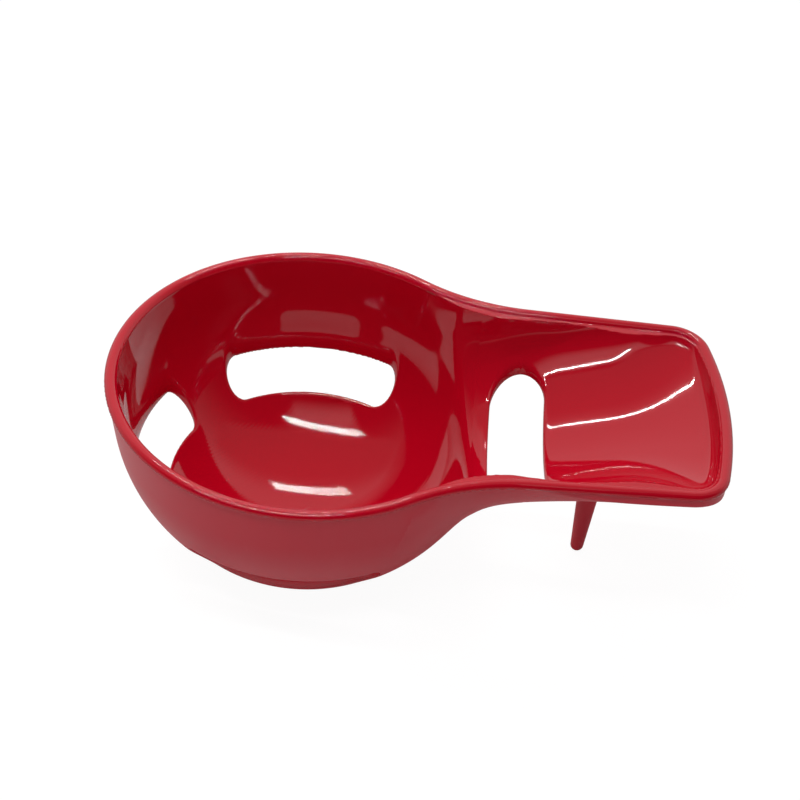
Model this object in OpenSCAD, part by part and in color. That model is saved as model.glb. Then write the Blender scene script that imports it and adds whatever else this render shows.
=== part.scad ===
// Egg separator: a round bowl with a yolk cup at its bottom and flow slots
// around the cup, a wide trough handle with a drain slot at its root, and a
// leg under the handle. The real object is a single moulding; each node here
// is one region of it, and neighbours meet face to face.
//
// Origin: the foot of the bowl, on the table under the bowl's centre. +X runs
// along the handle, +Z is up. All sizes are in millimetres. The modules below
// measure heights from the top of the rim, and placed() lifts each node.

/* [Bowl] */
// Radius of the rim, to its outer edge
bowl_r = 40; // [36:0.5:48]
// How far inside the rim's edge the ball that shapes the bowl lies at its widest
ball_in = 1.2; // [0.8:0.1:1.6]
// Thickness of the bowl wall
wall = 1.8; // [1.4:0.1:2.4]
// Height of the bowl, rim to table
bowl_h = 43.3; // [40:0.1:52]
// How far the bowl's bottom is raised above the ball's lowest point
foot_rise = 1.5; // [1.2:0.1:1.8]
// Radius of the small flat foot
foot_r = 4; // [3:0.1:5]

/* [Rim] */
// Thickness of the rim; its top is a full round
rim_t = 2.4; // [2:0.1:3]
// How far the rim stands proud of the wall below it
rim_step = 0.4; // [0:0.1:0.6]

/* [Flow slots] */
// How far inside the ball's widest circle the slots end
slot_in = 4; // [3:0.1:8]
// Width of each flow slot, seen from above
slot_w = 6.8; // [4:0.2:8]
// Width of the ring's solid band between the yolk cup and the slots
band_in = 1.5; // [1:0.1:2]
// Width of the ring's solid band outside the slots
band_out = 1.1; // [0.8:0.1:1.4]
// Half the angle that a side slot takes up
side_half = 35.5; // [25:0.5:40]
// Half the angle that the slot opposite the handle takes up
far_half = 31.5; // [20:0.5:36]

/* [Handle] */
// Length of the handle, from the bowl's rim to its far edge
grip_l = 43.3; // [30:0.1:60]
// Half of the handle's width at its root
root_w = 26.8; // [22:0.1:30]
// How far beyond the bowl's rim that width is measured
root_out = 5; // [4:0.1:6]
// Half of the handle's width at its far corners
tip_w = 25.9; // [20:0.1:30]
// How far inside the far edge that width is measured
tip_in = 10.3; // [9:0.1:12]
// Radius of the far corners
corner_r = 8; // [5:0.5:12]
// Radius of the far edge's slight curve
edge_r = 90; // [70:1:140]
// Radius of the curve from the bowl into the handle
neck_r = 42; // [30:1:55]
// How far the trough's floor, where the drain slot begins, lies above the underside
// of the slotted ring's outer edge
root_up = 0.7; // [0.5:0.1:3]
// Depth of the trough at the far edge
tip_depth = 5.3; // [3.5:0.1:6.5]
// Radius of the trough's cross-section where the drain slot begins
root_arc = 23.8; // [22:0.1:36]
// Radius of the trough's cross-section at the far edge
tip_arc = 75; // [60:1:110]
// Thickness of the trough's floor
floor_t = 1.9; // [1.4:0.1:2.6]

/* [Drain slot] */
// Width of the drain slot, along the handle
drain_w = 11; // [6:0.2:14]
// Length of the drain slot, across the handle
drain_l = 37.4; // [24:0.2:42]
// How far inside the ball's widest circle the slot begins
drain_in = 2.2; // [1.9:0.1:2.6]

/* [Leg] */
// How far beyond the bowl's rim the leg stands
leg_out = 19.1; // [15:0.1:30]
// Diameter of the leg at its root
leg_root_d = 6.2; // [4:0.1:8]
// Diameter of the leg just above its round tip
leg_tip_d = 2.8; // [2:0.1:4]

/* [Hidden] */
$fn = 96;
plastic = [0.68, 0.05, 0.10];
far = 200;                              // larger than the whole object

// Rim and wall
rim_r = rim_t / 2;                      // radius of the rim's round top
bowl_in_r = bowl_r - rim_t;
bottom_z = -bowl_h;

// Balls that shape the outside and the inside of the bowl, about one centre
ball_r = bowl_r - ball_in;
ball_drop = bowl_h + foot_rise - ball_r;    // how far the centre lies below the rim
cavity_r = ball_r - wall;

// Yolk cup, and the rings that part the bowl into nodes
cup_r = ball_r - slot_in - slot_w;      // where the slots begin
ring_in = cup_r - band_in;
ring_out = cup_r + slot_w + band_out;

// Drain slot and leg
drain_from = ball_r - drain_in;         // where the slot begins
drain_x = drain_from + drain_w / 2;
leg_x = bowl_r + leg_out;

// Side line of the handle, from its root to its corner
reach = bowl_r + grip_l;
root_depth = ball_drop + sqrt(pow(ball_r, 2) - pow(ring_out, 2)) - root_up;
root_x = bowl_r + root_out;
side_x = reach - tip_in;
side_dir = unit([side_x - root_x, tip_w - root_w]);
side_out = [-side_dir.y, side_dir.x];   // points away from the handle
side_p = [root_x, root_w];

// Centres of the arcs of the handle's outline; every inset shares them
edge_c = [reach - edge_r, 0];
corner_c = on_line(side_p - corner_r * side_out, edge_c, edge_r - corner_r);
neck_c = on_line(side_p + neck_r * side_out, [0, 0], bowl_r + neck_r);

// Trough stations, along the handle and across it; they overrun its outline
overrun = 6.7;
trough_from = bowl_r / 2;               // well inside the bowl
trough_to = reach + overrun;
trough_half = max(root_w, tip_w) + overrun;
trough_x = [for (i = [0:14]) trough_from + (trough_to - trough_from) * i / 14];
trough_y = [for (j = [-14:14]) trough_half * j / 14];

// The draft line is set a little past tangent, so it crosses the ball cleanly,
// and the ball's sector reaches well above that crossing
past_tangent = 0.3;
sector_over = 5;
core_gap = 0.3;                         // from the bowl's face to the core that joins its parts

function unit(v) = v / norm(v);

module placed() {
    color(plastic) translate([0, 0, bowl_h]) children();
}

// Point where a line along the handle's side first lies at distance r from c,
// on the far side from the bowl for the corner and on the near side for the neck
function on_line(p, c, r) =
    let (u = (c - p) * side_dir,
         foot = p + u * side_dir,
         h = norm(c - foot),
         run = sqrt(r * r - h * h))
    foot + run * side_dir;

// Height of the trough's floor: a circular arc across the handle, which gets
// shallower and flatter towards the far edge
function along(x) = (x - drain_from) / (reach - rim_t - drain_from);
function mid_z(x) = -root_depth + (root_depth - tip_depth) * along(x);
function arc_r(x) = 1 / (1 / root_arc + (1 / tip_arc - 1 / root_arc) * along(x));
function rise(y, r) =
    let (c = min(y, 0.84 * r))          // straight beyond a steep slope
    r - sqrt(r * r - c * c) + (y - c) * 0.84 / sqrt(1 - 0.84 * 0.84);
// Distance across the handle; in the necks it follows their curve
function across(x, y) =
    let (from_neck = [x, abs(y)] - neck_c)
    cross(-side_out, from_neck) < 0 ? max(0, root_w + neck_r - norm(from_neck)) : abs(y);
function floor_in(x, y) = mid_z(x) + rise(across(x, y), arc_r(x));
function floor_out(x, y) = mid_z(x) - floor_t + rise(across(x, y), arc_r(x) + floor_t);

// Everything above the trough's inner or outer face
module above(inner) {
    nx = len(trough_x);
    ny = len(trough_y);
    low = [for (x = trough_x) for (y = trough_y)
        [x, y, inner ? floor_in(x, y) : floor_out(x, y)]];
    n = nx * ny;
    high = [for (i = [0, nx - 1]) for (j = [0, ny - 1]) [trough_x[i], trough_y[j], far]];
    function at(i, j) = i * ny + j;
    polyhedron(
        points = concat(low, high),
        faces = concat(
            [for (i = [0:nx - 2]) for (j = [0:ny - 2])
                each [[at(i, j), at(i + 1, j), at(i + 1, j + 1)],
                      [at(i, j), at(i + 1, j + 1), at(i, j + 1)]]],
            [[n, n + 1, n + 3, n + 2]],
            [[n, for (j = [0:ny - 1]) at(0, j), n + 1]],
            [[n + 3, for (j = [ny - 1:-1:0]) at(nx - 1, j), n + 2]],
            [[n, n + 2, for (i = [nx - 1:-1:0]) at(i, 0)]],
            [[n + 3, n + 1, for (i = [0:nx - 1]) at(i, ny - 1)]]));
}

// Run of points on an arc, each with its outward direction: necks curve inwards
function arc_run(c, r, from, to, n, inward = false) = [for (i = [0:n])
    let (a = from + (to - from) * i / n)
    [c.x + r * cos(a), c.y + r * sin(a), inward ? a - 180 : a]];

// Half of the handle's outline, moved inwards by an inset: from the bowl along
// the neck, the side and the corner to the middle of the far edge
neck_a = atan2(neck_c.y, neck_c.x);
side_a = atan2(side_out.y, side_out.x);
edge_a = atan2(corner_c.y - edge_c.y, corner_c.x - edge_c.x);
function half_run(inset) = concat(
    arc_run(neck_c, neck_r + inset, 180 + neck_a, 180 + side_a, 14, true),
    arc_run(corner_c, corner_r - inset, side_a, edge_a, 10),
    [for (i = [1:5]) arc_run(edge_c, edge_r - inset, edge_a, 0, 5)[i]]);
function flipped(run) = [for (i = [len(run) - 2:-1:0]) [run[i].x, -run[i].y, -run[i].z]];
function full_run(inset) = let (half = half_run(inset)) concat(half, flipped(half));

// Plan of the handle and its necks; it runs on to the bowl's centre
module handle_plan(inset) {
    polygon(concat([[0, 0]], [for (p = full_run(inset)) [p.x, p.y]]));
}

// Solid of revolution inside a wall face: a draft line tangent to a ball, and
// a tighter arc that ends in a small flat at the bottom; straight above the rim's
// lower edge
module turned(top_r, r, low, top) {
    centre = [0, -ball_drop];
    up = ball_drop - rim_r;
    tilt = acos(r / norm([top_r, up])) - atan2(up, top_r) + past_tangent;
    near = norm([top_r, up]) * cos(tilt + atan2(up, top_r));
    line_p = centre + near * [cos(tilt), -sin(tilt)];
    // The lower arc is tangent to the ball and to the flat
    gap = low + ball_drop + r;
    lower_r = r - (pow(foot_r, 2) + pow(gap, 2)) / (2 * gap);
    lower_c = [foot_r, low + lower_r];
    join = lower_c + lower_r * unit(lower_c - centre);
    rotate_extrude() {
        polygon(concat([[0, top], [0, line_p.y], line_p, [top_r, -rim_r]],
            top > -rim_r ? [[top_r, top]] : []));
        intersection() {
            translate(centre) circle(r = r);
            polygon([centre, centre + 2 * (join - centre), centre + [2 * r, -2 * r],
                centre + 2 * r * [cos(tilt - sector_over), -sin(tilt - sector_over)]]);
        }
        intersection() {
            translate(lower_c) circle(r = lower_r);
            polygon([lower_c, [foot_r, 2 * low], 2 * (join - lower_c) + lower_c]);
        }
        polygon([centre, [0, low], [foot_r, low], lower_c]);
        polygon([[0, line_p.y], line_p - core_gap * unit(line_p - centre),
            join - core_gap * unit(join - centre),
            [foot_r, low + core_gap], [0, low + core_gap]]);
    }
}

module bowl_outside(top = -rim_r) {
    turned(bowl_r - rim_step, ball_r, bottom_z, top);
}

module bowl_cavity() {
    turned(bowl_in_r, cavity_r, bottom_z + wall, rim_t);
}

// Upright flow slot with round ends, centred on an angle
module flow_slot(angle, half) {
    mid = cup_r + slot_w / 2;
    arc = half - asin(slot_w / 2 / mid);
    translate([0, 0, -far / 2]) {
        rotate(angle - arc) rotate_extrude(angle = 2 * arc)
            translate([cup_r, 0]) square([slot_w, far]);
        for (s = [-1, 1]) rotate(angle + s * arc)
            translate([mid, 0]) cylinder(d = slot_w, h = far);
    }
}

module flow_slots() {
    flow_slot(90, side_half);
    flow_slot(-90, side_half);
    flow_slot(180, far_half);
}

module drain_slot() {
    run = (drain_l - drain_w) / 2;
    translate([drain_x, 0, -far / 2]) {
        translate([-drain_w / 2, -run]) cube([drain_w, 2 * run, far]);
        for (s = [-1, 1]) translate([0, s * run]) cylinder(d = drain_w, h = far);
    }
}

// Space inside the handle's walls and above its floor
module trough_cavity() {
    intersection() {
        translate([0, 0, -far / 2]) linear_extrude(far) handle_plan(rim_t);
        above(true);
    }
}

// Bowl shell between two radii, open towards the handle
module shell(r_in, r_out) {
    difference() {
        bowl_outside();
        bowl_cavity();
        trough_cavity();
        drain_slot();
        if (r_in > 0) cylinder(r = r_in, h = far, center = true);
        difference() {
            cylinder(r = far, h = far, center = true);
            cylinder(r = r_out, h = 2 * far, center = true);
        }
    }
}

// Half-round section of the rim
module rim_section() {
    intersection() {
        circle(r = rim_r);
        translate([-far, 0]) square([2 * far, far]);
    }
}

module bowl_rim() {
    placed() translate([0, 0, -rim_r]) rotate(neck_a)
        rotate_extrude(angle = 360 - 2 * neck_a) translate([bowl_r - rim_r, 0]) rim_section();
}

// The rest of the rim, swept around the handle
module handle_rim() {
    path = full_run(rim_r);
    m = len(path);
    k = 12;                             // facets of the half-round section
    points = [for (p = path) for (j = [0:k])
        let (t = 180 * j / k, w = rim_r * cos(t))
        [p.x + w * cos(p.z), p.y + w * sin(p.z), rim_r * sin(t) - rim_r]];
    function at(i, j) = i * (k + 1) + (j % (k + 1));
    placed() polyhedron(
        points = points,
        faces = concat(
            [for (i = [0:m - 2]) for (j = [0:k])
                each [[at(i, j), at(i + 1, j), at(i + 1, j + 1)],
                      [at(i, j), at(i + 1, j + 1), at(i, j + 1)]]],
            [[for (j = [0:k]) at(0, j)]],
            [[for (j = [k:-1:0]) at(m - 1, j)]]));
}

module bowl_wall() {
    placed() shell(ring_out, far / 2);
}

module slotted_ring() {
    placed() difference() {
        shell(ring_in, ring_out);
        flow_slots();
    }
}

module yolk_cup() {
    placed() shell(0, ring_in);
}

module handle_trough() {
    placed() difference() {
        difference() {
            intersection() {
                translate([0, 0, -far - rim_r]) linear_extrude(far) handle_plan(rim_step);
                above(false);
            }
            bowl_outside(rim_t);
        }
        trough_cavity();
        drain_slot();
    }
}

module rest_leg() {
    tip_r = leg_tip_d / 2;
    top_z = floor_out(leg_x, 0) + 1;
    placed() difference() {
        translate([leg_x, 0, bottom_z + tip_r]) {
            sphere(r = tip_r);
            cylinder(r1 = tip_r, r2 = leg_root_d / 2, h = top_z - bottom_z - tip_r);
        }
        above(false);
    }
}

bowl_rim();
bowl_wall();
slotted_ring();
yolk_cup();
handle_rim();
handle_trough();
rest_leg();
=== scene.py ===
import math

import bpy
import numpy as np
from mathutils import Matrix, Vector


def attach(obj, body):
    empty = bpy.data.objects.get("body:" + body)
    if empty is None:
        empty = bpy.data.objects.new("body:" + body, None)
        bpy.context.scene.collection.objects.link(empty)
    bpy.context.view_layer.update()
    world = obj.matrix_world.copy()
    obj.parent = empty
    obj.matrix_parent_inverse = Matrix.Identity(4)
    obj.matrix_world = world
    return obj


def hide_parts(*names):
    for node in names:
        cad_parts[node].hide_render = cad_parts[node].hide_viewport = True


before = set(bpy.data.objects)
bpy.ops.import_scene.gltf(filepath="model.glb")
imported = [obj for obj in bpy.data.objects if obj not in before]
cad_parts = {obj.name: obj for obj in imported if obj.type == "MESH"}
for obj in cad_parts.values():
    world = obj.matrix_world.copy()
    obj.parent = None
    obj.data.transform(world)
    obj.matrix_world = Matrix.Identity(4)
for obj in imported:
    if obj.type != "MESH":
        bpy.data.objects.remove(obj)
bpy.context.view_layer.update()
print("frame loaded")


# Nodes and sums

def addNode(tree, kind, settings=None, inputs=(), out=0):
    node = tree.nodes.new(kind)
    for name, value in (settings or {}).items():
        setattr(node, name, value)
    pairs = inputs.items() if isinstance(inputs, dict) else enumerate(inputs)
    for key, value in pairs:
        if value is None:
            continue
        if isinstance(value, Wire):
            tree.links.new(value.socket, node.inputs[key])
        else:
            node.inputs[key].default_value = value
    return Wire(tree, node.outputs[out]) if node.outputs else node


class Wire:
    # One output socket; sums written on it add Math nodes
    def __init__(self, tree, socket):
        self.tree, self.socket = tree, socket

    def math(self, operation, *others):
        return addNode(self.tree, "ShaderNodeMath", {"operation": operation}, [self, *others])

    def turned(self, operation, other):
        return addNode(self.tree, "ShaderNodeMath", {"operation": operation}, [other, self])

    def __add__(self, other): return self.math("ADD", other)
    def __radd__(self, other): return self.turned("ADD", other)
    def __sub__(self, other): return self.math("SUBTRACT", other)
    def __rsub__(self, other): return self.turned("SUBTRACT", other)
    def __mul__(self, other): return self.math("MULTIPLY", other)
    def __rmul__(self, other): return self.turned("MULTIPLY", other)
    def __truediv__(self, other): return self.math("DIVIDE", other)
    def __rtruediv__(self, other): return self.turned("DIVIDE", other)
    def __neg__(self): return self.math("MULTIPLY", -1.0)
    def __abs__(self): return self.math("ABSOLUTE")
    def __gt__(self, other): return self.math("GREATER_THAN", other)
    def __lt__(self, other): return self.math("LESS_THAN", other)

    def least(self, other): return self.math("MINIMUM", other)
    def most(self, other): return self.math("MAXIMUM", other)
    def softLeast(self, other, blend): return self.math("SMOOTH_MIN", other, blend)
    def softMost(self, other, blend): return self.math("SMOOTH_MAX", other, blend)
    def root(self): return self.math("SQRT")

    def ramp(self, low, high):
        # 0 below low, 1 above high
        return addNode(self.tree, "ShaderNodeMapRange", {"interpolation_type": "SMOOTHSTEP"},
                       [self, low, high, 0.0, 1.0])

    def parts(self):
        node = addNode(self.tree, "ShaderNodeSeparateXYZ", None, [self]).socket.node
        return [Wire(self.tree, socket) for socket in node.outputs]

    def vector(self, operation, other=None, scale=None):
        inputs = {0: self, 1: other}
        if scale is not None:
            inputs["Scale"] = scale
        return addNode(self.tree, "ShaderNodeVectorMath", {"operation": operation}, inputs)


def reach(a, b):
    return (a * a + b * b).root()


def pick(mask, yes, no):
    return no + (yes - no) * mask


# The moulding's shape

# Sizes in millimetres, the same as in the part's source
bowl = {
    "rimRadius": 40.0,
    "ballInset": 1.2,
    "wall": 1.8,
    "height": 43.3,
    "footRise": 1.5,
    "footFlat": 4.0,
    "rimThickness": 2.4,
    "rimStep": 0.4,          # the bead stands out this far past the wall
    "wallTop": 0.75,         # where the wall ends in the bead, of the bead's half height
    "dishRise": 1.1,         # the inside is rounder at its bottom than the outside
    "dishFlat": 1.3,
}
ballRadius = bowl["rimRadius"] - bowl["ballInset"]
ballDrop = bowl["height"] + bowl["footRise"] - ballRadius
bead = bowl["rimThickness"] / 2

band = {
    "slotInset": 4.0,
    "inner": 1.5,
    "outer": 1.1,
    "step": 0.7,             # the trough starts this far above the band
}
slotWidth = 6.8
ringOuter = ballRadius - band["slotInset"] + band["outer"]
ringInner = ballRadius - band["slotInset"] - slotWidth - band["inner"]

drainHole = {
    "inset": 2.2,
    "shift": 0.7,            # nearer the tip than in the part's source
    "width": 11.0,
    "length": 37.4,
}
drainStart = ballRadius - drainHole["inset"]
slots = {
    "Cup radius": ballRadius - band["slotInset"] - slotWidth,
    "Slot width": slotWidth,
    "Side slot half angle": 35.5,
    "Far slot half angle": 31.5,
    "Drain width": drainHole["width"],
    "Drain length": drainHole["length"],
    "Drain place": drainStart + drainHole["width"] / 2 + drainHole["shift"],
    "Slot lean": 3.0,        # degrees that the side slots sit behind the bowl's middle
    "Slot inset": 0.3,       # taken up by the rounding of their edges
}
handle = {
    "reach": bowl["rimRadius"] + 43.3,
    "rootX": bowl["rimRadius"] + 5.0,
    "tipInset": 10.3,
    "rootHalf": 26.8,
    "tipHalf": 25.9,
    "cornerRadius": 8.0,
    "edgeRadius": 90.0,
    "neckRadius": 42.0,
    "rootDepth": ballDrop + math.sqrt(ballRadius ** 2 - ringOuter ** 2) - band["step"],
    "tipDepth": 5.3,
    "rootArc": 23.8,
    "tipArc": 75.0,
    "floorTipArc": 62.0,     # at the tip the floor curves a little more than the underside
    "floor": 1.9,
    "startX": 24.0,          # nearer the bowl's middle than this, there is no trough
    "clearX": 34.0,          # nearer than this, the trough keeps its section
    "evenBend": 0.68,        # share of the underside's flattening that is even along it
    "floorBends": ((0.0, 0.35, 0.31), (0.55, 1.0, 0.69)),    # the floor's: from, to, share
}
leg = {
    "x": bowl["rimRadius"] + 19.1,
    "rootRadius": 3.1,
    "tipRadius": 1.4,
    "top": -11.0,            # from the rim's top
}
softness = {
    "Underside blend": 7.0,
    "Inside blend": 5.0,
    "Trough corner": 4.4,
    "Slot edge": 1.3,
    "Leg fillet": 2.0,
}
edgeBlend = {
    "side": 0.4,
    "wall": 0.2,
    "lip": 0.15,
    "underLip": 0.4,
}
mesher = {
    "Cell": 0.34,
    "probe": 0.04,
    "passes": 3,
    "low": (-0.0416, -0.0416, -0.0008),    # corners of the space it fills, in metres
    "high": (0.0848, 0.0416, 0.0440),
}


def unit2(v):
    return v / np.linalg.norm(v)


sideStart = np.array([handle["rootX"], handle["rootHalf"]])
sideEnd = np.array([handle["reach"] - handle["tipInset"], handle["tipHalf"]])
sideDir = unit2(sideEnd - sideStart)
sideOut = np.array([-sideDir[1], sideDir[0]])
edgeCentre = np.array([handle["reach"] - handle["edgeRadius"], 0.0])


def sidePoint(start, centre, distance):
    # First point along the handle's side at this distance from the centre
    foot = start + sideDir * ((centre - start) @ sideDir)
    return foot + sideDir * math.sqrt(distance ** 2 - np.sum((centre - foot) ** 2))


cornerCentre = sidePoint(sideStart - handle["cornerRadius"] * sideOut, edgeCentre,
                         handle["edgeRadius"] - handle["cornerRadius"])
neckCentre = sidePoint(sideStart + handle["neckRadius"] * sideOut, np.zeros(2),
                       bowl["rimRadius"] + handle["neckRadius"])
neckAngle = math.atan2(neckCentre[1], neckCentre[0])


def crossWith(direction, x, y):
    return direction[0] * y - direction[1] * x


def planDistance(x, y, r):
    # Distance outside the rim's outline, seen from above
    side = (x - sideStart[0]) * sideOut[0] + (y - sideStart[1]) * sideOut[1]
    edge = reach(x - edgeCentre[0], y) - handle["edgeRadius"]
    cx, cy = x - cornerCentre[0], y - cornerCentre[1]
    edgeDir = unit2(cornerCentre - edgeCentre)
    inCorner = (crossWith(edgeDir, cx, cy) > 0.0) * (crossWith(sideOut, cx, cy) < 0.0)
    grip = pick(inCorner, reach(cx, cy) - handle["cornerRadius"], side.most(edge)).most(-x)
    nx, ny = x - neckCentre[0], y - neckCentre[1]
    inNeck = (crossWith(-unit2(neckCentre), nx, ny) > 0.0) * (crossWith(-sideOut, nx, ny) < 0.0)
    return pick(inNeck, handle["neckRadius"] - reach(nx, ny), grip.least(r - bowl["rimRadius"]))


def turnedDistance(r, z, radius, topRadius, rise, flat):
    # Distance outside a turned face: draft line, ball, tighter arc and small flat
    up = ballDrop - bead
    tilt = math.acos(radius / math.hypot(topRadius, up)) - math.atan2(up, topRadius)
    along = r * math.sin(tilt) + (z + ballDrop) * math.cos(tilt)
    across = r * math.cos(tilt) - (z + ballDrop) * math.sin(tilt)
    ball = reach(along.least(0.0), across) - radius
    lowRadius = radius - (flat ** 2 + rise ** 2) / (2 * rise)
    lowCentre = rise - ballDrop - radius + lowRadius
    join = unit2(np.array([flat, lowCentre + ballDrop]))
    bottom = reach((r - flat).most(0.0), z - lowCentre) - lowRadius
    return pick(crossWith(join, r, z + ballDrop) < 0.0, bottom, ball)


def acrossHandle(x, y):
    # Distance from the handle's middle; in the necks it follows their curve
    nx, ny = x - neckCentre[0], y - neckCentre[1]
    beside = crossWith(-sideOut, nx, ny) < 0.0
    curved = (handle["rootHalf"] + handle["neckRadius"] - reach(nx, ny)).most(0.0)
    return pick(beside, curved, y)


def troughDistance(x, y, z, tipArc, extra, bendAlong):
    # Distance below the trough's floor, or below its underside
    span = handle["reach"] - bowl["rimThickness"] - drainStart
    t = (x.most(handle["clearX"]) - drainStart) / span
    middle = t * (handle["rootDepth"] - handle["tipDepth"]) - handle["rootDepth"]
    bend = bendAlong(t)
    arc = 1.0 / (bend * (1 / tipArc - 1 / handle["rootArc"]) + 1 / handle["rootArc"])
    slope = (handle["rootDepth"] - handle["tipDepth"]) / span
    return (reach(y, (z - middle - arc).least(0.0)) - arc - extra) * math.cos(math.atan(slope))


def arcSlot(across, along, radius, half, width):
    # Distance outside a round-ended slot centred on the along axis
    centre = radius + width * 0.5
    turn = half.math("RADIANS") - (width * 0.5 / centre).math("ARCSINE")
    s, c = turn.math("SINE"), turn.math("COSINE")
    side = abs(across)
    inside = side * c < s * along
    return pick(inside, abs(reach(side, along) - centre),
                reach(side - s * centre, along - c * centre)) - width * 0.5


def undersideBend(t):
    return t * (handle["evenBend"] + t * (1.0 - handle["evenBend"]))


def floorBend(t):
    first, second = (t.ramp(low, high) * share for low, high, share in handle["floorBends"])
    return first + second


def legDistance(x, y, z):
    top = leg["top"]
    tip = leg["tipRadius"] - bowl["height"]
    growth = (leg["rootRadius"] - leg["tipRadius"]) / (top - tip)
    height = (z - tip).most(0.0)
    return (reach(reach(x - leg["x"], y), (z - tip).least(0.0)) - leg["tipRadius"]
            - height * growth).most(z - top)


def buildDistanceGroup():
    tree = bpy.data.node_groups.new("mouldingDistance", "GeometryNodeTree")
    sockets = tree.interface
    sockets.new_socket("Place", in_out="INPUT", socket_type="NodeSocketVector")
    for name, value in {**slots, **softness}.items():
        sockets.new_socket(name, in_out="INPUT", socket_type="NodeSocketFloat").default_value = value
    for name in ("Distance", "Outer"):
        sockets.new_socket(name, in_out="OUTPUT", socket_type="NodeSocketFloat")
    start = tree.nodes.new("NodeGroupInput")
    size = {socket.name: Wire(tree, socket) for socket in start.outputs if socket.name}

    x, y, z = size["Place"].parts()
    x, y, z = x * 1000.0, abs(y) * 1000.0, z * 1000.0 - bowl["height"]
    r = reach(x, y)
    plan = planDistance(x, y, r)
    ballOut = turnedDistance(r, z, ballRadius, bowl["rimRadius"] - bowl["rimStep"],
                             bowl["footRise"], bowl["footFlat"])
    ballIn = turnedDistance(r, z, ballRadius - bowl["wall"],
                            bowl["rimRadius"] - bowl["rimThickness"],
                            bowl["dishRise"], bowl["dishFlat"])
    beforeTrough = handle["startX"] - x
    across = acrossHandle(x, y)
    underside = troughDistance(x, across, z, handle["tipArc"], handle["floor"],
                               undersideBend).most(beforeTrough)
    outer = ballOut.softLeast(underside, size["Underside blend"])
    outer = outer.softMost(plan + bowl["rimStep"], edgeBlend["side"])
    outer = outer.softLeast(legDistance(x, y, z), size["Leg fillet"])
    floor = troughDistance(x, across, z, handle["floorTipArc"], 0.0, floorBend)
    trough = floor.softMost(plan + bowl["rimThickness"], size["Trough corner"])
    inner = ballIn.softLeast(trough.most(beforeTrough), size["Inside blend"])
    wall = outer.softMost(-inner, edgeBlend["wall"]).most(z + bead * bowl["wallTop"])
    lip = (reach(plan + bead, z + bead) - bead).softMost(-z - bead, edgeBlend["lip"])
    solid = wall.softLeast(lip, edgeBlend["underLip"])
    lean = size["Slot lean"].math("RADIANS")
    s, c = lean.math("SINE"), lean.math("COSINE")
    sideSlot = arcSlot(x * c + y * s, y * c - x * s, size["Cup radius"],
                       size["Side slot half angle"], size["Slot width"])
    farSlot = arcSlot(y, -x, size["Cup radius"], size["Far slot half angle"], size["Slot width"])
    drainRun = (size["Drain length"] - size["Drain width"]) * 0.5
    drain = reach(x - size["Drain place"], (y - drainRun).most(0.0)) - size["Drain width"] * 0.5
    holes = (sideSlot.least(farSlot) + size["Slot inset"]).least(drain)
    solid = solid.softMost(-holes, size["Slot edge"])

    end = tree.nodes.new("NodeGroupOutput")
    for name, wire in (("Distance", solid), ("Outer", outer)):
        tree.links.new(wire.socket, end.inputs[name])
    return tree


def buildMouldingTree(distanceGroup):
    tree = bpy.data.node_groups.new("moulding", "GeometryNodeTree")
    sockets = tree.interface
    named = {**slots, **softness, "Cell": mesher["Cell"]}
    for name, value in named.items():
        sockets.new_socket(name, in_out="INPUT", socket_type="NodeSocketFloat").default_value = value
    sockets.new_socket("Plastic", in_out="INPUT", socket_type="NodeSocketMaterial")
    sockets.new_socket("Geometry", in_out="OUTPUT", socket_type="NodeSocketGeometry")
    start = tree.nodes.new("NodeGroupInput")
    size = {socket.name: Wire(tree, socket) for socket in start.outputs if socket.name}

    def distanceAt(place, out=0):
        inputs = {name: size[name] for name in {**slots, **softness}}
        return addNode(tree, "GeometryNodeGroup", {"node_tree": distanceGroup},
                       {**inputs, "Place": place}, out)

    def outward(place):
        # Direction of steepest growth, from four probes
        total = None
        for corner in ((1, -1, -1), (-1, -1, 1), (-1, 1, -1), (1, 1, 1)):
            shift = [0.001 * mesher["probe"] * v for v in corner]
            probe = distanceAt(place.vector("ADD", shift))
            step = addNode(tree, "ShaderNodeCombineXYZ", None, [probe * v for v in corner])
            total = step if total is None else total.vector("ADD", step)
        return total.vector("NORMALIZE")

    level, low, high = 1.0, mesher["low"], mesher["high"]
    place = addNode(tree, "GeometryNodeInputPosition")
    counts = [(1000.0 * (b - a)) / size["Cell"] for a, b in zip(low, high)]
    fill = (level - distanceAt(place)).most(0.0).least(2.0 * level)
    cloud = addNode(tree, "GeometryNodeVolumeCube", None,
                    {"Density": fill, "Background": 0.0, "Min": low, "Max": high,
                     "Resolution X": counts[0], "Resolution Y": counts[1],
                     "Resolution Z": counts[2]})
    skin = addNode(tree, "GeometryNodeVolumeToMesh", {"resolution_mode": "GRID"},
                   {"Volume": cloud, "Threshold": level, "Adaptivity": 0.0})
    for i in range(mesher["passes"]):      # pull every point onto the true surface
        shift = outward(place).vector("SCALE", scale=distanceAt(place) * -0.001)
        skin = addNode(tree, "GeometryNodeSetPosition", None, {"Geometry": skin, "Offset": shift})
    for name, kind, value in (("facing", "FLOAT_VECTOR", outward(place)),
                              ("outer", "FLOAT", distanceAt(place, 1))):
        skin = addNode(tree, "GeometryNodeStoreNamedAttribute",
                       {"data_type": kind, "domain": "POINT"},
                       {"Geometry": skin, "Name": name, "Value": value})
    skin = addNode(tree, "GeometryNodeRealizeInstances", None, {"Geometry": skin})
    skin = addNode(tree, "GeometryNodeSetMaterial", None,
                   {"Geometry": skin, "Material": size["Plastic"]})
    end = tree.nodes.new("NodeGroupOutput")
    tree.links.new(skin.socket, end.inputs["Geometry"])
    return tree


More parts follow.
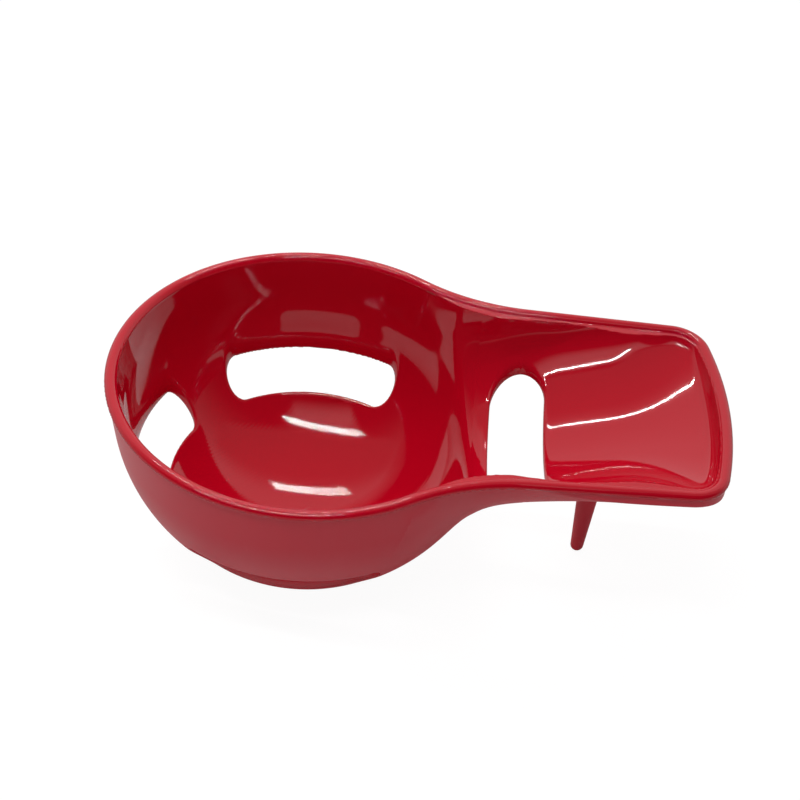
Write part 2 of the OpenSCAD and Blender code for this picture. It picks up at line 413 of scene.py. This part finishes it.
def growMoulding(plastic):
    seed = bpy.data.objects.new("moulding", bpy.data.meshes.new("mouldingSeed"))
    bpy.context.scene.collection.objects.link(seed)
    tree = buildMouldingTree(buildDistanceGroup())
    modifier = seed.modifiers.new("moulding", "NODES")
    modifier.node_group = tree
    values = {**slots, **softness, "Cell": mesher["Cell"], "Plastic": plastic}
    for item in tree.interface.items_tree:
        if item.item_type == "SOCKET" and item.in_out == "INPUT":
            modifier[item.identifier] = values[item.name]
    graph = bpy.context.evaluated_depsgraph_get()
    mesh = bpy.data.meshes.new_from_object(seed.evaluated_get(graph))
    seed.modifiers.remove(modifier)
    bpy.data.objects.remove(seed)
    print("moulding grown:", len(mesh.vertices), "points,", len(mesh.polygons), "faces")
    return mesh


# From one skin to named pieces

parting = {
    "satinReach": 0.35,      # how near the outer skin the finish is satin
    "satinFade": 0.25,
    "rimFade": 0.1,
    "ballMargin": 0.7,
    "legMargin": 1.2,
    "legTop": -13.5,         # the highest part of the leg's piece, from the rim's top
}


def splitAlong(points, tris, value):
    # Cuts the triangles where value changes sign; every column of points is carried along
    above = value > 0
    sides = above[tris].sum(axis=1)
    mixed = (sides == 1) | (sides == 2)
    whole, cut = tris[~mixed], tris[mixed]
    odd = above[cut] == (above[cut].sum(axis=1) == 1)[:, None]
    turn = odd.argmax(axis=1)
    rows = np.arange(len(cut))
    a, b, c = (cut[rows, (turn + k) % 3] for k in range(3))
    pairs = np.sort(np.concatenate([np.c_[a, b], np.c_[a, c]]), axis=1)
    unique, where = np.unique(pairs, axis=0, return_inverse=True)
    where = where.reshape(-1)
    u, v = unique.T
    t = (value[u] / (value[u] - value[v]))[:, None]
    new = points[u] * (1 - t) + points[v] * t
    ab = len(points) + where[:len(cut)]
    ac = len(points) + where[len(cut):]
    tris = np.concatenate([whole, np.c_[a, ab, ac], np.c_[ab, b, c], np.c_[ab, c, ac]])
    return np.concatenate([points, new]), tris


def makePiece(name, points, tris, plastic):
    used, where = np.unique(tris, return_inverse=True)
    points, tris = points[used], where.reshape(-1, 3)
    mesh = bpy.data.meshes.new(name)
    mesh.vertices.add(len(points))
    mesh.vertices.foreach_set("co", points[:, :3].astype(np.float32).ravel())
    mesh.loops.add(tris.size)
    mesh.loops.foreach_set("vertex_index", tris.astype(np.int32).ravel())
    mesh.polygons.add(len(tris))
    mesh.polygons.foreach_set("loop_start", np.arange(0, tris.size, 3, dtype=np.int32))
    mesh.update(calc_edges=True)
    mesh.polygons.foreach_set("use_smooth", np.ones(len(tris), dtype=bool))
    facing = points[:, 3:6] / np.linalg.norm(points[:, 3:6], axis=1)[:, None]
    mesh.normals_split_custom_set_from_vertices(facing.tolist())
    satin = mesh.attributes.new("satin", "FLOAT", "POINT")
    satin.data.foreach_set("value", points[:, 6].astype(np.float32))
    mesh.materials.append(plastic)
    piece = bpy.data.objects.new(name, mesh)
    bpy.context.scene.collection.objects.link(piece)
    print(name, len(tris), "triangles")
    return piece


def splitMoulding(mesh, plastic):
    count = len(mesh.vertices)
    mesh.calc_loop_triangles()
    tris = np.empty(len(mesh.loop_triangles) * 3, dtype=np.int32)
    mesh.loop_triangles.foreach_get("vertices", tris)
    tris = tris.reshape(-1, 3).astype(np.int64)
    # Columns: place, direction it faces, satin finish (also where the painted sheen goes), distance
    # outside the outer skin
    points = np.empty((count, 8))
    column = np.empty(count * 3, dtype=np.float32)
    mesh.vertices.foreach_get("co", column)
    points[:, :3] = column.reshape(-1, 3)
    mesh.attributes["facing"].data.foreach_get("vector", column)
    points[:, 3:6] = column.reshape(-1, 3)
    single = np.empty(count, dtype=np.float32)
    mesh.attributes["outer"].data.foreach_get("value", single)
    points[:, 7] = single
    height = points[:, 2] * 1000 - bowl["height"]
    fade = parting["rimFade"]
    onOutside = np.clip((parting["satinReach"] - np.abs(points[:, 7])) / parting["satinFade"], 0, 1)
    points[:, 6] = onOutside * np.clip((-height - bead + fade / 2) / fade, 0, 1)

    def radius(p):
        return np.hypot(p[:, 0], p[:, 1]) * 1000

    def aboveParting(p):
        return p[:, 2] * 1000 - bowl["height"] + bead

    def pastNeck(p):
        return (p[:, 0] * math.sin(neckAngle) - np.abs(p[:, 1]) * math.cos(neckAngle)) * 1000

    def offBall(p):
        drop = p[:, 2] * 1000 - bowl["height"] + ballDrop
        return np.hypot(radius(p), np.minimum(drop, 0)) - ballRadius - parting["ballMargin"]

    def offLeg(p):
        away = np.hypot(p[:, 0] * 1000 - leg["x"], p[:, 1] * 1000)
        return away - leg["rootRadius"] - parting["legMargin"]

    cuts = [aboveParting, pastNeck, lambda p: radius(p) - ringInner,
            lambda p: radius(p) - ringOuter, offBall, offLeg]
    for cutValue in cuts:
        points, tris = splitAlong(points, tris, cutValue(points))
    centres = points[tris].mean(axis=1)
    rim = aboveParting(centres) > 0
    grip = pastNeck(centres) > 0
    onLeg = (offLeg(centres) < 0) & (centres[:, 2] * 1000 < bowl["height"] + parting["legTop"])
    r = radius(centres)
    off = (offBall(centres) > 0) & (centres[:, 0] > 0) & ~rim & ~onLeg
    masks = {
        "bowlRim": rim & ~grip,
        "handleRim": rim & grip,
        "restLeg": onLeg & ~rim,
        "handleTrough": off,
    }
    rest = ~(rim | onLeg | off)
    masks["yolkCup"] = rest & (r < ringInner)
    masks["slottedRing"] = rest & (r >= ringInner) & (r < ringOuter)
    masks["bowlWall"] = rest & (r >= ringOuter)
    return {name: makePiece(name, points, tris[mask], plastic) for name, mask in masks.items()}


# Plastic

plasticLook = {
    "colour": (0.49, 0.001, 0.013, 1.0),
    # painted sheen: the satin outside gets a lighter copy of the red, standing in for the light it
    # catches
    "satinPaintedSheenColour": (0.61, 0.006, 0.026, 1.0),
    "polished": 0.05,        # roughness inside and on the rim
    "satin": 0.40,           # roughness outside
    "unevenness": 0.05,      # of the roughness
    "cloudScale": 60.0,
    "grainScale": 2600.0,
    "polishedGrain": 0.15,   # share of the satin's grain
    "ridgePitch": 0.0008,    # of the fine tool marks in the cup
    "ridgeSlant": 0.8,
    "ridgeDrift": 4.0,
    "driftScale": 420.0,
    "ridgeHeight": 0.7,      # of the grain's
    "ridgeEdge": (0.024, 0.028),
    "bump": 0.15,
    "bumpDepth": 0.00003,
    "ior": 1.49,
}


def makePlastic():
    look = plasticLook
    material = bpy.data.materials.new("redMouldedPlastic")
    material.use_nodes = True
    tree = material.node_tree
    tree.nodes.clear()
    place = addNode(tree, "ShaderNodeTexCoord", None, out=3)
    satin = addNode(tree, "ShaderNodeAttribute", {"attribute_name": "satin"}, out=2)

    def noise(scale, detail):
        return addNode(tree, "ShaderNodeTexNoise", None,
                       {"Vector": place, "Scale": scale, "Detail": detail})

    roughness = (look["polished"] + (look["satin"] - look["polished"]) * satin
                 + (noise(look["cloudScale"], 3.0) - 0.5) * look["unevenness"])
    x, y, z = place.parts()
    wave = (x - y * look["ridgeSlant"]) * (2 * math.pi / look["ridgePitch"])
    ridges = (wave + noise(look["driftScale"], 1.0) * look["ridgeDrift"]).math("SINE")
    inCup = 1.0 - reach(x, y).ramp(*look["ridgeEdge"])
    grainShare = look["polishedGrain"] + (1.0 - look["polishedGrain"]) * satin
    height = noise(look["grainScale"], 2.0) * grainShare + ridges * inCup * look["ridgeHeight"]
    bump = addNode(tree, "ShaderNodeBump", None,
                   {"Height": height, "Strength": look["bump"], "Distance": look["bumpDepth"]})
    # the satin mask swaps in the lighter red, a painted sheen on the outside
    colour = addNode(tree, "ShaderNodeMix", {"data_type": "RGBA"},
                     {0: satin, 6: look["colour"], 7: look["satinPaintedSheenColour"]}, 2)
    shader = addNode(tree, "ShaderNodeBsdfPrincipled", None,
                     {"Base Color": colour, "Roughness": roughness,
                      "Normal": bump, "IOR": look["ior"]})
    addNode(tree, "ShaderNodeOutputMaterial", None, {"Surface": shader})
    return material


plastic = makePlastic()
skin = growMoulding(plastic)
pieces = splitMoulding(skin, plastic)
nodeOf = {
    "bowlRim": "bowl_rim",
    "bowlWall": "bowl_wall",
    "slottedRing": "slotted_ring",
    "yolkCup": "yolk_cup",
    "handleRim": "handle_rim",
    "handleTrough": "handle_trough",
    "restLeg": "rest_leg",
}
for name, piece in pieces.items():
    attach(piece, "root")
    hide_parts(nodeOf[name])


# Floor, light and camera

stage = {
    "floorSize": 6.0,
    "floorColour": (0.74, 0.74, 0.74, 1.0),
    "whiteness": 1.08,       # of the floor, as the camera sees it
    "shadowStrength": 0.12,  # how much of its shadow the camera sees on the floor
    "ceiling": 0.36,         # of the light tent, between the lamps
    "panel": 0.88,           # behind them
    "back": 0.8,
    "front": 0.8,
    "hood": 1.0,             # glow over the front row of lamps
}
tent = {
    # Where each part of the light tent starts and ends, in its own height
    "frontEdge": 0.45,
    "frontBow": 0.22,
    "sides": (1.2, 1.5),
    "front": (-0.03, 0.03),
    "rear": (1.5, 2.0),
    "panel": (0.2, 0.6),
    "hoodMiddle": -0.17,
    "hoodSides": (0.42, 0.47),
    "hoodFront": (-0.95, -0.6),
    "hoodRear": (-0.5, -0.4),
    "frontWall": (0.02, 0.16),    # its light goes out between these slopes
    "frontWallDrop": 0.96,
    "backWall": (-0.4, 0.5),
    "lowest": 0.05,
}
strips = {
    # Ends of each row of small lamps in the tent's ceiling, and their size
    "front": ((-0.175, -0.078), (0.075, -0.118)),
    "rear": ((-0.115, 0.132), (0.066, 0.124)),
    "height": 0.285,
    "pitch": 0.006,
    "lampLength": 0.003,
    "lampWidth": 0.005,
    "radiance": 180.0,
}


def makeFloor():
    size = stage["floorSize"] / 2
    mesh = bpy.data.meshes.new("floor")
    mesh.from_pydata([(-size, -size, 0), (size, -size, 0), (size, size, 0), (-size, size, 0)], [],
                     [(0, 1, 2, 3)])
    floor = bpy.data.objects.new("floor", mesh)
    bpy.context.scene.collection.objects.link(floor)
    material = bpy.data.materials.new("paleFloor")
    material.use_nodes = True
    tree = material.node_tree
    tree.nodes.clear()
    paint = addNode(tree, "ShaderNodeBsdfDiffuse", None, {"Color": stage["floorColour"]})
    white = addNode(tree, "ShaderNodeEmission", None, {"Strength": stage["whiteness"]})
    seen = addNode(tree, "ShaderNodeLightPath") * (1.0 - stage["shadowStrength"])
    look = addNode(tree, "ShaderNodeMixShader", None, [seen, paint, white])
    addNode(tree, "ShaderNodeOutputMaterial", None, {"Surface": look})
    mesh.materials.append(material)


def makeWorld():
    world = bpy.data.worlds.new("studio")
    bpy.context.scene.world = world
    world.use_nodes = True
    tree = world.node_tree
    tree.nodes.clear()
    seen = addNode(tree, "ShaderNodeLightPath")
    x, y, z = addNode(tree, "ShaderNodeTexCoord").parts()
    flat = z.most(tent["lowest"])
    u, v = x / flat, y / flat
    front = v + tent["frontEdge"] - abs(u) * tent["frontBow"]
    over = ((1.0 - abs(u).ramp(*tent["sides"])) * front.ramp(*tent["front"])
            * (1.0 - v.ramp(*tent["rear"])))
    hood = ((1.0 - abs(u - tent["hoodMiddle"]).ramp(*tent["hoodSides"]))
            * v.ramp(*tent["hoodFront"]) * (1.0 - v.ramp(*tent["hoodRear"])))
    low = (1.0 - z.ramp(*tent["frontWall"]) * tent["frontWallDrop"]) * stage["front"]
    around = pick(y.ramp(*tent["backWall"]), stage["back"], low)
    above = pick(v.ramp(*tent["panel"]), stage["panel"], stage["ceiling"])
    light = pick(over, above, around).most(hood * stage["hood"])
    strength = pick(seen, 1.0, light)
    sky = addNode(tree, "ShaderNodeBackground", None,
                  {"Color": (1.0, 1.0, 1.0, 1.0), "Strength": strength})
    addNode(tree, "ShaderNodeOutputWorld", None, {"Surface": sky})


def addStrip(name, ends):
    # A row of small lamps, all facing down
    first, last = (np.array([*end, strips["height"]]) for end in ends)
    count = 1 + round(np.linalg.norm(last - first) / strips["pitch"])
    lamp = bpy.data.lights.new(name, "AREA")
    lamp.shape, lamp.size, lamp.size_y = "RECTANGLE", strips["lampLength"], strips["lampWidth"]
    lamp.energy = strips["radiance"] * math.pi * lamp.size * lamp.size_y
    for k in range(count):
        spot = bpy.data.objects.new(name, lamp)
        spot.location = first + (last - first) * k / (count - 1)
        bpy.context.scene.collection.objects.link(spot)


view = {
    "elevation": 41.25,
    "azimuth": 1.11,
    "roll": 5.95,
    "focal": 1545.0,         # in pixels
    "distance": 7.589,       # in rim radii
    "centre": (310.06, 370.11),    # the pixel that shows the middle of the rim
    "width": 800,
}


def makeCamera():
    scale, height = bowl["rimRadius"] / 1000, bowl["height"] / 1000
    elevation, azimuth, roll = (math.radians(view[name]) for name in ("elevation", "azimuth", "roll"))
    focal, distance = view["focal"], view["distance"]
    shiftX, shiftY = (v - (view["width"] - 1) / 2 for v in view["centre"])
    ahead = Vector((math.sin(azimuth) * math.cos(elevation),
                    math.cos(azimuth) * math.cos(elevation), -math.sin(elevation)))
    level = Vector((math.cos(azimuth), -math.sin(azimuth), 0.0))
    upright = level.cross(ahead)
    right = level * math.cos(roll) + upright * math.sin(roll)
    up = upright * math.cos(roll) - level * math.sin(roll)
    place = (-distance * ahead - shiftX / focal * distance * right
             + shiftY / focal * distance * up)
    lens = bpy.data.cameras.new("camera")
    lens.lens = lens.sensor_width * focal / view["width"]
    lens.clip_start = 0.01
    camera = bpy.data.objects.new("camera", lens)
    turn = Matrix((right, up, -ahead)).transposed()
    camera.matrix_world = Matrix.Translation(place * scale + Vector((0, 0, height))) @ turn.to_4x4()
    bpy.context.scene.collection.objects.link(camera)
    bpy.context.scene.camera = camera


makeFloor()
makeWorld()
addStrip("frontStrip", strips["front"])
addStrip("rearStrip", strips["rear"])
makeCamera()
bpy.context.scene.view_settings.view_transform = "Standard"
print("floor, lights and camera set")

print("done")
